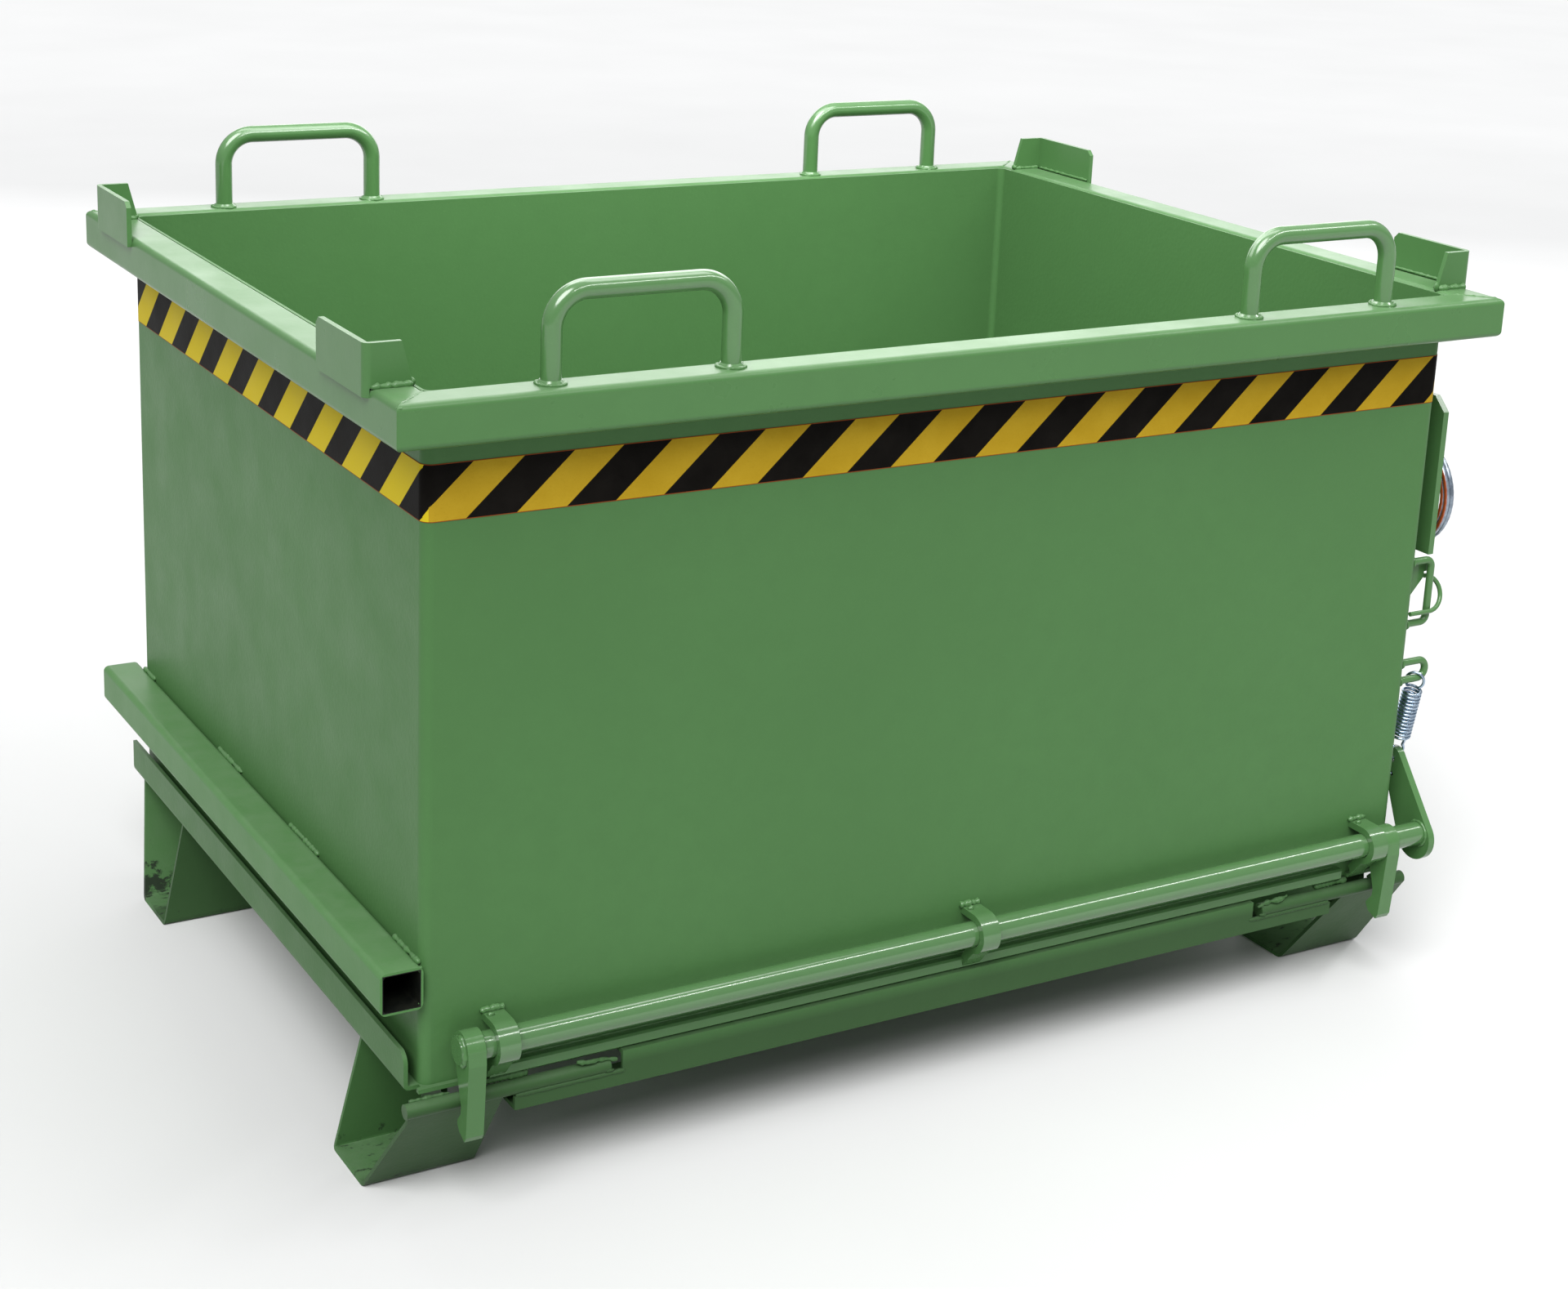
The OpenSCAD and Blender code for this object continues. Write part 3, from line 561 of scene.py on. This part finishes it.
spring_points = spring_path()
bm = bmesh.new()
add_tube(bm, smooth_path(spring_points, 2), wire(WIRE_R / 1000))
spring = piece("return_spring_wire", finish_mesh(bm, "return_spring_wire"), None, "zinc_steel")
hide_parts("return_spring")
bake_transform(spring)


# ---- welds ----
WELD = random.Random(7)
BEAD_STEP, BEAD_SIDES = 0.0009, 12


def bead(bm, points, radius, closed=False, rough=0.22):
    """A rippled weld bead with uneven width along a path given in millimetres."""
    path = resampled([at(*p) for p in points], BEAD_STEP)
    if closed:
        path = path[:-1]
    shift = Vector((WELD.random() * 40, WELD.random() * 40, WELD.random() * 40))
    last = len(path) - 1
    phase = WELD.random() * 6

    def ring(i):
        p = path[i] * 1000 / 6 + shift
        swell = 1 + rough * noise.noise(p) * 1.6 + 0.07 * math.sin(i * 1.1 + phase)
        if not closed:
            swell *= min(1.0, 0.55 + 0.16 * min(i, last - i))
        result = []
        for k in range(BEAD_SIDES):
            a = 2 * math.pi * k / BEAD_SIDES
            local = 1 + 0.5 * rough * noise.noise(p * 2.1 + Vector((math.cos(a), math.sin(a), 0)))
            r = radius / 1000 * swell * local
            result.append((r * math.cos(a), r * math.sin(a)))
        return result

    add_tube(bm, path, ring, closed)


def circle(centre, radius, axis, wobble=0.0):
    """A closed circle of points in millimetres, square to the x or z axis."""
    x, y, z = centre
    points = []
    for k in range(40):
        a = 2 * math.pi * k / 40
        r = radius + wobble * math.sin(3 * a + x)
        u, v = r * math.cos(a), r * math.sin(a)
        points.append((x, y + u, z + v) if axis == "x" else (x + u, y + v, z))
    return points + points[:1]


def corner_places():
    """For each corner of the box, a function that turns front left places into that corner's."""
    for right in (False, True):
        for deep in (False, True):
            yield lambda x, y, z: (BOX_LONG - x if right else x, BOX_DEEP - y if deep else y, z)


def weld_piece(bm, name, body, slot):
    piece(name, finish_mesh(bm, name), body, slot)


weld_mesh = bmesh.new()
for middle in (190, 930):
    for leg in (-85, 85):
        for y in (-17, 817):
            bead(weld_mesh, circle((middle + leg, y, 630.5), 12.0, "z", wobble=0.6), 1.7, True,
                 rough=0.5)
weld_piece(weld_mesh, "bow_welds", "container", "frame_paint")

weld_mesh = bmesh.new()
for corner in corner_places():
    bead(weld_mesh, [corner(x, 17.2, 631.2) for x in range(-39, -1, 2)], 3.4, rough=0.4)
    bead(weld_mesh, [corner(x, 23.8, 631.0) for x in range(-38, -2, 2)], 2.4, rough=0.3)
    bead(weld_mesh, [corner(-5 + d * 0.4, 18.5 + d, 632) for d in range(0, 6)], 4.2, rough=0.4)
    bead(weld_mesh, [corner(-39.6, y, 631) for y in range(26, 127, 3)], 1.6, rough=0.3)
    bead(weld_mesh, [corner(-40.6, y, 622.4) for y in (22, 26, 30, 34)], 1.8, rough=0.4)
    bead(weld_mesh, [corner(-40.6, y, 622.4) for y in (112, 116, 120, 124)], 1.8, rough=0.4)
weld_piece(weld_mesh, "stacking_welds", "container", "frame_paint")

weld_mesh = bmesh.new()
for corner in corner_places():
    bead(weld_mesh, [corner(-d, -d, 629.2) for d in range(3, 37, 2)], 1.5, rough=0.35)
    bead(weld_mesh, [corner(-37.4, -37.4, z) for z in range(597, 627, 2)], 1.5, rough=0.45)
    bead(weld_mesh, [corner(-36.6, -36.6, z) for z in (624, 626, 628)], 3.0, rough=0.4)
weld_piece(weld_mesh, "rim_welds", "container", "frame_paint")

weld_mesh = bmesh.new()
LEFT_RUNS = ((4, 62), (250, 330), (470, 545), (760, 800))
RIGHT_RUNS = ((262, 320), (520, 590), (760, 800))
for x, runs in ((-0.4, LEFT_RUNS), (1120.4, RIGHT_RUNS)):
    for low, high in runs:
        bead(weld_mesh, [(x, y, 118.0) for y in range(low, high, 3)], 2.6, rough=0.35)
        bead(weld_mesh, [(x, y, 78.0) for y in range(low, high, 3)], 2.2, rough=0.3)
bead(weld_mesh, [(-2.2, -2.6, z) for z in (112, 114, 116, 117.5)], 2.0, rough=0.4)
bead(weld_mesh, [(-2.2, -2.6, z) for z in (79, 81, 83)], 1.9, rough=0.4)
weld_piece(weld_mesh, "tube_welds", "container", "frame_paint")

weld_mesh = bmesh.new()
for x in (57, 564, 1061):
    bead(weld_mesh, [(x + d, -1.2, 61.8) for d in range(-2, 22)], 3.4, rough=0.5)
    bead(weld_mesh, [(x + d, -9.5, 60.8) for d in range(2, 9)], 2.2, rough=0.5)
    bead(weld_mesh, [(x + d, -8.6, 3.0) for d in range(0, 20)], 2.0, rough=0.4)
bead(weld_mesh, [(x, -0.6, 9.4) for x in range(64, 1048, 4)], 1.1, rough=0.4)
weld_piece(weld_mesh, "strap_welds", "container", "fitting_paint")

weld_mesh = bmesh.new()
for z, radius in ((206, 1.7), (226, 1.7), (270, 1.8), (339, 1.8)):
    bead(weld_mesh, circle((1121, 10, z), 4.6, "x"), radius, True)
bead(weld_mesh, circle((1121, 150, 94), 3.6, "x"), 1.5, True)
for y in (72.6, 80.4):
    bead(weld_mesh, [(1120.6, y, z) for z in range(360, 500, 4)], 1.8, rough=0.35)
weld_piece(weld_mesh, "bracket_welds", "container", "fitting_paint")

weld_mesh = bmesh.new()
bead(weld_mesh, circle((27.6, -22, 40), 11.8, "x", wobble=0.6), 2.6, True, rough=0.4)
bead(weld_mesh, circle((45.4, -22, 40), 12.9, "x"), 1.6, True, rough=0.3)
bead(weld_mesh, circle((1100.4, -22, 40), 12.9, "x"), 1.6, True, rough=0.3)
bead(weld_mesh, circle((1140.6, -22, 40), 13.0, "x"), 1.8, True, rough=0.25)
bead(weld_mesh, circle((1149.2, -22, 40), 11.4, "x", wobble=0.4), 1.8, True, rough=0.3)
weld_piece(weld_mesh, "latch_welds", "latch", "fitting_paint")

weld_mesh = bmesh.new()
for inner, way in ((180, 1), (940, -1)):
    spots = [(inner + way * d, -11.5 - 1.2 * math.sin(d / 5), -9.5 - d * 0.12)
             for d in range(-34, 8, 2)]
    bead(weld_mesh, spots, 1.9, rough=0.55)
    bead(weld_mesh, [(inner + way * d, -12.6, -20.0) for d in range(-5, 4)], 1.8, rough=0.5)
for outer, way in ((-18, 1), (1138, -1)):
    bead(weld_mesh, [(outer + way * (6 + d), -3.0, -10.6) for d in range(0, 40, 2)], 2.4, rough=0.5)
for left, right in ((56, 102), (1018, 1064)):
    bead(weld_mesh, [(x, -2.6, -7.6) for x in range(left, right, 3)], 3.6, rough=0.25)
for left, right in ((86, 196), (924, 1034)):
    bead(weld_mesh, [(x, -11.4, -23.6) for x in range(left, right, 4)], 2.1, rough=0.12)
weld_piece(weld_mesh, "latch_bar_welds", "floor_flap", "floor_paint")

weld_mesh = bmesh.new()
for left in (-29, 1040):
    for y in (131.4, 649.2, 799.0):
        bead(weld_mesh, [(left + 30 + d, y, -5.0) for d in range(0, 70, 3)], 1.9, rough=0.35)
weld_piece(weld_mesh, "foot_welds", "floor_flap", "floor_paint")

weld_mesh = bmesh.new()
for middle in (140, 980):
    for side in (-38.4, -29.6, 29.6, 38.4):
        bead(weld_mesh, [(middle + side, 800.8, z) for z in range(8, 59, 3)], 1.8, rough=0.3)
weld_piece(weld_mesh, "hinge_welds", "container", "frame_paint")

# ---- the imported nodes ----
EDGE_WIDTHS = {
    "wall": 0.0006, "floor_sheet": 0.0006, "stack": 0.0009, "strap": 0.0010,
    "hook": 0.0016, "latch_lever": 0.0010, "latch_bar": 0.0008, "front_beam": 0.0007,
    "back_beam": 0.0007, "cross": 0.0006, "foot": 0.0007, "front_ledge": 0.0006,
    "rope_holder": 0.0008, "bracket_gusset": 0.0006, "hinge_ears": 0.0009,
    "hinge_pin": 0.0007, "floor_knuckle": 0.0010, "latch_shaft": 0.0010,
    "floor_lip": 0.0007, "side_tube": 0.0006,
}


def round_edges(obj, width):
    flat = obj.modifiers.new("merge_flat", "DECIMATE")
    flat.decimate_type = "DISSOLVE"
    flat.angle_limit = math.radians(0.6)
    edge = obj.modifiers.new("edges", "BEVEL")
    edge.width = width
    edge.segments = 3
    edge.limit_method = "ANGLE"
    edge.angle_limit = math.radians(40)
    edge.harden_normals = True


for name, obj in nodes.items():
    for slot in obj.material_slots:
        painted = SLOT_MATERIALS[slot.material.name.split(".")[0]]
        if name.startswith("side_tube"):
            painted = side_tube
        elif name.startswith("bow"):
            painted = bow_green
        elif name.startswith("strap") or name == "latch_shaft":
            painted = shaft_green
        slot.material = painted.material
    for start, width in EDGE_WIDTHS.items():
        if name.startswith(start):
            round_edges(obj, width)
            break

# ---- floor and light ----
bm = bmesh.new()
bmesh.ops.create_grid(bm, x_segments=24, y_segments=24, size=15)
ground_mesh = bpy.data.meshes.new("ground")
bm.to_mesh(ground_mesh)
bm.free()
ground = bpy.data.objects.new("ground", ground_mesh)
bpy.context.scene.collection.objects.link(ground)
g = Material("pale_floor")
tone = g.noise(1.7, 3.0, 0.5)
tint = g.mix(g.range(tone, 0.3, 0.7), (0.97, 0.97, 0.97, 1.0), (1.0, 1.0, 1.0, 1.0))
far = g.node("ShaderNodeVectorMath", {0: g.place}, operation="LENGTH").outputs["Value"]
pale = g.mix(g.range(far, 2.0, 7.0), (0.60, 0.60, 0.60, 1.0), (0.74, 0.74, 0.74, 1.0))
g.put(g.shader.inputs["Base Color"], g.mix(1.0, pale, tint, "MULTIPLY"))
g.shader.inputs["Roughness"].default_value = 0.9
g.shader.inputs["IOR"].default_value = 1.2
ground_mesh.materials.append(g.material)
ground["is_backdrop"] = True

world = bpy.data.worlds.new("studio")
world.use_nodes = True
world.node_tree.nodes["Background"].inputs["Color"].default_value = (0.97, 0.99, 1.0, 1.0)
world.node_tree.nodes["Background"].inputs["Strength"].default_value = 0.40
bpy.context.scene.world = world
bpy.context.scene.view_settings.view_transform = "Standard"


def softbox(name, place, aim, width, height, power):
    data = bpy.data.lights.new(name, "AREA")
    data.shape = "RECTANGLE"
    data.size, data.size_y = width, height
    data.energy = power
    light = bpy.data.objects.new(name, data)
    light.location = place
    light.rotation_euler = (Vector(aim) - Vector(place)).to_track_quat("-Z", "Y").to_euler()
    bpy.context.scene.collection.objects.link(light)


softbox("top_light", (0.1, 0.1, 2.6), (0, 0, 0.4), 2.6, 0.7, 26)
softbox("front_light", (1.1, -1.7, 2.4), (0.3, -0.4, 0.2), 3.6, 0.09, 34)
softbox("back_light", (1.8, 3.4, 1.8), (0, 0, 0.6), 4.2, 1.8, 54)
softbox("inner_light", (0, 0, 1.15), (0, 0, 0), 0.9, 0.55, 6)
key_data = bpy.data.lights.new("key_light", "SUN")
key_data.energy = 3.75
key_data.angle = math.radians(40)
key = bpy.data.objects.new("key_light", key_data)
key.rotation_euler = Vector((0.45, 0.45, -0.77)).to_track_quat("-Z", "Y").to_euler()
bpy.context.scene.collection.objects.link(key)

low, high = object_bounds()
